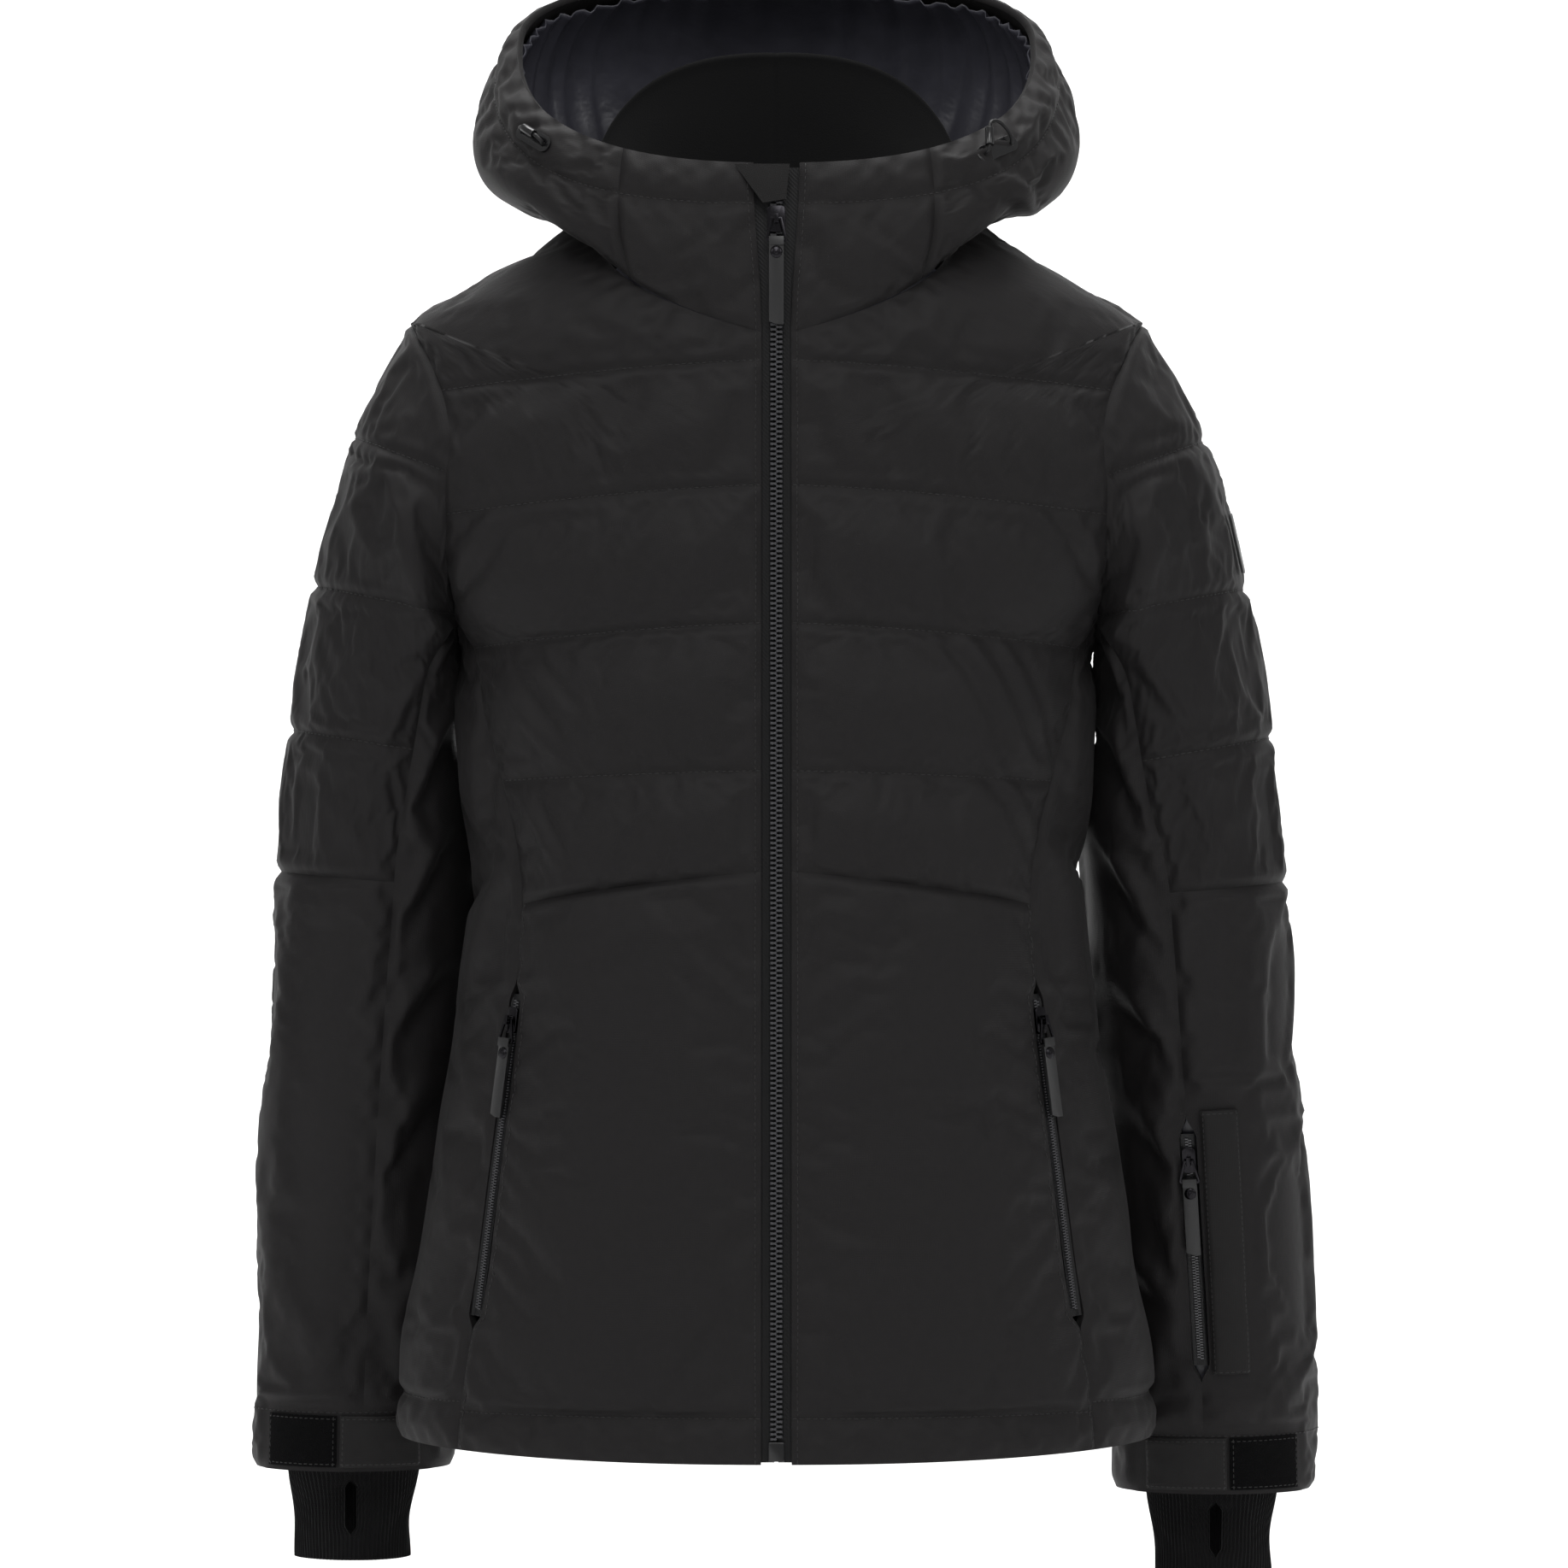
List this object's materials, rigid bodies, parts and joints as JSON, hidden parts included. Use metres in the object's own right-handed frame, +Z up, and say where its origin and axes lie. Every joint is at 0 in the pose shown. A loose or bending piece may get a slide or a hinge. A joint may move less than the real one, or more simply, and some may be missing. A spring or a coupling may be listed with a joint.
{
  "type": "ski jacket",
  "caption": "Hooded padded ski jacket, zipped shut, with quilted chest and sleeves, zipped hand pockets, a sleeve pocket, cuff tabs and wrist gaiters.",
  "frame": {"origin": "the middle of the hanger loop inside the back of the neck", "axes": "+X the wearer's left, -Y the front, +Z up"},
  "size_m": [0.577, 0.2759, 0.8754],
  "materials": {
    "shell_cloth": "matt woven shell over wadding",
    "satin_lining": "smooth satin",
    "brushed_facing": "brushed knit",
    "knit": "stretch knit",
    "zip_tape": "woven tape",
    "loop_pile": "fuzzy pile",
    "moulded_plastic": "moulded, glossy",
    "dark_metal": "dark plated",
    "soft_rubber": "satin rubber"
  },
  "bodies": {
    "root": {"zip_tape_right": "zip_tape", "zip_teeth_right": "moulded_plastic", "zip_tape_left": "zip_tape", "zip_teeth_left": "moulded_plastic", "zip_box": "moulded_plastic", "storm_flap": "shell_cloth", "zip_garage": "shell_cloth", "pocket_right_zip": "zip_tape", "chest_right": "shell_cloth", "lower_front_right": "shell_cloth", "side_right": "shell_cloth", "pocket_bag_right": "satin_lining", "pocket_left_zip": "zip_tape", "chest_left": "shell_cloth", "lower_front_left": "shell_cloth", "side_left": "shell_cloth", "pocket_bag_left": "satin_lining", "back_upper": "shell_cloth", "back_lower": "shell_cloth", "body_lining": "satin_lining", "hood_front_right": "shell_cloth", "hood_side_right": "shell_cloth", "hood_front_left": "shell_cloth", "hood_side_left": "shell_cloth", "hood_lining": "satin_lining", "upper_sleeve_right": "shell_cloth", "fore_sleeve_right": "shell_cloth", "under_sleeve_right": "shell_cloth", "cuff_patch_right": "loop_pile", "wrist_gaiter_right": "knit", "sleeve_pocket_zip": "zip_tape", "sleeve_pocket_welt": "shell_cloth", "upper_sleeve_left": "shell_cloth", "fore_sleeve_left": "shell_cloth", "under_sleeve_left": "shell_cloth", "cuff_patch_left": "loop_pile", "wrist_gaiter_left": "knit", "sleeve_badge": "soft_rubber", "eyelet_plate_right": "moulded_plastic", "hood_cord_right": "zip_tape", "eyelet_plate_left": "moulded_plastic", "hood_cord_left": "zip_tape", "neck_facing": "brushed_facing", "hanger_loop": "shell_cloth"},
    "main_slider": {"main_slider": "dark_metal"},
    "main_pull": {"main_pull_link": "dark_metal", "main_pull_tab": "soft_rubber"},
    "pocket_right_slider": {"pocket_right_slider": "dark_metal"},
    "pocket_right_pull": {"pocket_right_pull_link": "dark_metal", "pocket_right_pull_tab": "soft_rubber"},
    "pocket_left_slider": {"pocket_left_slider": "dark_metal"},
    "pocket_left_pull": {"pocket_left_pull_link": "dark_metal", "pocket_left_pull_tab": "soft_rubber"},
    "sleeve_pocket_slider": {"sleeve_pocket_slider": "dark_metal"},
    "sleeve_pocket_pull": {"sleeve_pocket_pull_link": "dark_metal", "sleeve_pocket_pull_tab": "soft_rubber"},
    "cuff_tab_right": {"cuff_tab_right": "shell_cloth"},
    "cord_lock_right": {"cord_lock_right": "moulded_plastic"},
    "cuff_tab_left": {"cuff_tab_left": "shell_cloth"},
    "cord_lock_left": {"cord_lock_left": "moulded_plastic"}
  },
  "joints": [
    {"name": "main_zip_slide", "type": "slide", "parent": "root", "child": "main_slider", "axis": [0, -0.0328, -0.9995], "range_m": [0, 0.624]},
    {"name": "main_pull_swing", "type": "hinge", "parent": "main_slider", "child": "main_pull", "pos_m": [0, -0.15522, -0.01432], "axis": [-1, 0, 0], "range_deg": [0, 150]},
    {"name": "pocket_right_zip_slide", "type": "slide", "parent": "root", "child": "pocket_right_slider", "axis": [-0.1246, -0.0124, -0.9921], "range_m": [0, 0.115]},
    {"name": "pocket_right_pull_swing", "type": "hinge", "parent": "pocket_right_slider", "child": "pocket_right_pull", "pos_m": [-0.14068, -0.12615, -0.43274], "axis": [-0.6989, 0.7109, 0.0789], "range_deg": [0, 150]},
    {"name": "pocket_left_zip_slide", "type": "slide", "parent": "root", "child": "pocket_left_slider", "axis": [0.1246, -0.0124, -0.9921], "range_m": [0, 0.115]},
    {"name": "pocket_left_pull_swing", "type": "hinge", "parent": "pocket_left_slider", "child": "pocket_left_pull", "pos_m": [0.14068, -0.12615, -0.43274], "axis": [-0.6989, -0.7109, -0.0789], "range_deg": [0, 150]},
    {"name": "sleeve_pocket_zip_slide", "type": "slide", "parent": "root", "child": "sleeve_pocket_slider", "axis": [0.0664, 0.1639, -0.9842], "range_m": [0, 0.078]},
    {"name": "sleeve_pocket_pull_swing", "type": "hinge", "parent": "sleeve_pocket_slider", "child": "sleeve_pocket_pull", "pos_m": [0.22045, -0.04877, -0.51097], "axis": [-0.988, 0.1488, -0.0419], "range_deg": [0, 150]},
    {"name": "cuff_tab_peel_right", "type": "hinge", "parent": "root", "child": "cuff_tab_right", "pos_m": [-0.19394, -0.00428, -0.66495], "axis": [0, 0, 1], "range_deg": [0, 28]},
    {"name": "cord_lock_slide_right", "type": "slide", "parent": "root", "child": "cord_lock_right", "axis": [0.5889, -0.7056, -0.3941], "range_m": [0, 0.001]},
    {"name": "cuff_tab_peel_left", "type": "hinge", "parent": "root", "child": "cuff_tab_left", "pos_m": [0.20091, -0.00791, -0.67665], "axis": [0, 0, -1], "range_deg": [0, 28]},
    {"name": "cord_lock_slide_left", "type": "slide", "parent": "root", "child": "cord_lock_left", "axis": [-0.0018, 0.399, 0.917], "range_m": [0, 0.001]}
  ]
}
